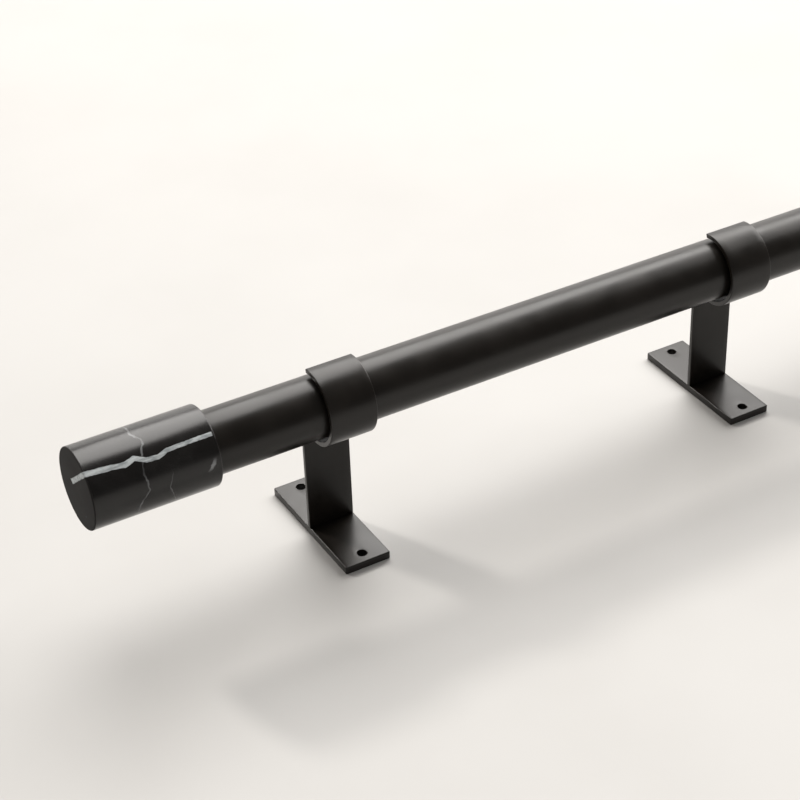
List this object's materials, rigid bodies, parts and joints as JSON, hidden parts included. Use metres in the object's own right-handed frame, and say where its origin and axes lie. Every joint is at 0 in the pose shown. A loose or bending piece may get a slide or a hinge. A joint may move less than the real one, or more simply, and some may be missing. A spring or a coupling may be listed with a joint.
{
  "type": "curtain rod with brackets",
  "caption": "Telescoping round curtain rod with drum finials, held in rolled cups on flat wall brackets with screw-hole plates.",
  "frame": {"origin": "centre of the whole set's bottom: on the wall plane under the brackets' plates, halfway between the finials' outer faces", "axes": "+X along the rod towards the telescoping end, +Z out of the wall, +Y up when the set is mounted on a wall"},
  "size_m": [0.5848, 0.078, 0.1053],
  "materials": {
    "powder_coat": "satin",
    "marble": "satin",
    "black_nylon": "matte",
    "zinc_plate": "satin",
    "soft_rubber": "matte",
    "brass_insert": "satin"
  },
  "bodies": {
    "rod_outer": {"outer_tube": "powder_coat", "mouth_liner": "black_nylon", "left_end_plug": "black_nylon", "left_stud": "zinc_plate"},
    "rod_inner": {"inner_tube": "powder_coat", "glide_sleeve": "black_nylon", "right_end_plug": "black_nylon", "right_stud": "zinc_plate"},
    "left_washer_ring": {"left_washer": "soft_rubber"},
    "left_finial_drum": {"left_finial": "marble", "left_finial_insert": "brass_insert"},
    "left_bracket": {"left_wall_plate": "powder_coat", "left_post": "powder_coat", "left_cup": "powder_coat"},
    "right_washer_ring": {"right_washer": "soft_rubber"},
    "right_finial_drum": {"right_finial": "marble", "right_finial_insert": "brass_insert"},
    "right_bracket": {"right_wall_plate": "powder_coat", "right_post": "powder_coat", "right_cup": "powder_coat"}
  },
  "joints": [
    {"name": "rod_extend", "type": "slide", "parent": "rod_outer", "child": "rod_inner", "axis": [1, 0, 0], "range_m": [0, 0.254]},
    {"name": "left_bracket_slide", "type": "slide", "parent": "rod_outer", "child": "left_bracket", "axis": [1, 0, 0], "range_m": [-0.05, 0.09]},
    {"name": "right_bracket_slide", "type": "slide", "parent": "rod_outer", "child": "right_bracket", "axis": [1, 0, 0], "range_m": [-0.09, 0.12]},
    {"name": "left_washer_travel", "type": "slide", "parent": "rod_outer", "child": "left_washer_ring", "axis": [-1, 0, 0], "range_m": [0, 0.014]},
    {"name": "left_finial_unscrew", "type": "hinge", "parent": "left_washer_ring", "child": "left_finial_drum", "pos_m": [-0.2286, -0.0128, 0.085], "axis": [-1, 0, 0], "range_deg": [0, 4000]},
    {"name": "right_washer_travel", "type": "slide", "parent": "rod_inner", "child": "right_washer_ring", "axis": [1, 0, 0], "range_m": [0, 0.014]},
    {"name": "right_finial_unscrew", "type": "hinge", "parent": "right_washer_ring", "child": "right_finial_drum", "pos_m": [0.2286, -0.0128, 0.085], "axis": [1, 0, 0], "range_deg": [0, 4000]}
  ],
  "couplings": [
    {"joint": "left_washer_travel", "follows": "left_finial_unscrew", "m_per_rad": 0.00019894},
    {"joint": "right_washer_travel", "follows": "right_finial_unscrew", "m_per_rad": 0.00019894}
  ]
}
